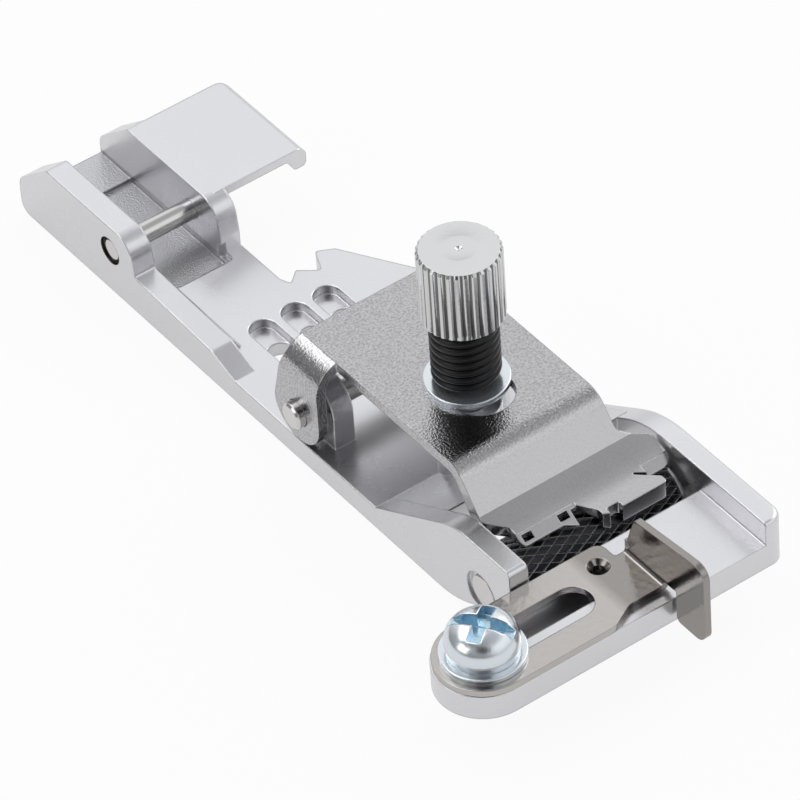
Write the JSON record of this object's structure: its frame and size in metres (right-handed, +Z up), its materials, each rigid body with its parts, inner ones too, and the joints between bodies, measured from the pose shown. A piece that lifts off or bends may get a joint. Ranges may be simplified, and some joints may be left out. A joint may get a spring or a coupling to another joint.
{
  "type": "sewing machine presser foot",
  "caption": "Clip-in overlock presser foot with a knurled roller, a sprung pressure plate set by a thumbscrew and a sliding elastic guide",
  "frame": {"origin": "on the flat sole, below the middle of the snap pin", "axes": "+X across the foot towards the thumb tab, +Y towards the heel so that the toe points along -Y, +Z up from the sole"},
  "size_m": [0.0306, 0.0801, 0.0253],
  "materials": {
    "satin_chrome_casting": "satin",
    "pin_steel": "ground",
    "roller_steel": "diamond knurl, oiled",
    "bright_nickel_sheet": "bright with fine orange peel",
    "knob_nickel": "turned and ribbed",
    "black_spring": "black oxide",
    "blue_zinc": "blue zinc plate",
    "warm_nickel_sheet": "bright nickel"
  },
  "bodies": {
    "foot": {"foot_body": "satin_chrome_casting", "snap_pin": "pin_steel", "hinge_pin": "pin_steel", "roller_axle": "satin_chrome_casting", "guide_flat_washer": "blue_zinc"},
    "plate": {"pressure_plate": "bright_nickel_sheet"},
    "washer": {"tension_washer": "blue_zinc"},
    "spring": {"tension_spring": "black_spring"},
    "knob": {"thumbscrew": "knob_nickel"},
    "feed_roller": {"roller": "roller_steel"},
    "guide": {"elastic_guide": "warm_nickel_sheet"},
    "clamp_washer": {"guide_lock_washer": "blue_zinc"},
    "clamp_screw": {"guide_screw": "blue_zinc"}
  },
  "joints": [
    {"name": "plate_tilt", "type": "hinge", "parent": "foot", "child": "plate", "pos_m": [0.0039, -0.02655, 0.0054], "axis": [-1, 0, 0], "range_deg": [0, 3], "stiffness_Nm_per_rad": 0.4, "springref_deg": -2.86},
    {"name": "washer_lift", "type": "slide", "parent": "foot", "child": "washer", "axis": [0, 0, 1], "range_m": [0, 0.0008]},
    {"name": "knob_travel", "type": "slide", "parent": "foot", "child": "spring", "axis": [0, 0, 1], "range_m": [-0.0005, 0.001], "deforming": ["tension_spring"]},
    {"name": "knob_turn", "type": "hinge", "parent": "spring", "child": "knob", "pos_m": [0.00378, -0.03755, 0.02], "axis": [0, 0, 1], "range_deg": [-360.5, 720.5]},
    {"name": "roller_spin", "type": "hinge", "parent": "foot", "child": "feed_roller", "pos_m": [0.00494, -0.05055, 0.0034], "axis": [1, 0, 0], "continuous": true},
    {"name": "guide_slide", "type": "slide", "parent": "foot", "child": "guide", "axis": [-1, 0, 0], "range_m": [0, 0.0085]},
    {"name": "clamp_lift", "type": "slide", "parent": "foot", "child": "clamp_washer", "axis": [0, 0, 1], "range_m": [0, 0.0005]},
    {"name": "clamp_turn", "type": "hinge", "parent": "clamp_washer", "child": "clamp_screw", "pos_m": [-0.01082, -0.0586, 0.009], "axis": [0, 0, 1], "range_deg": [0, 360.5]}
  ],
  "couplings": [
    {"joint": "washer_lift", "follows": "plate_tilt", "m_per_rad": 0.0148},
    {"joint": "knob_turn", "follows": "knob_travel", "rad_per_m": 12566},
    {"joint": "clamp_turn", "follows": "clamp_lift", "rad_per_m": 12566}
  ]
}
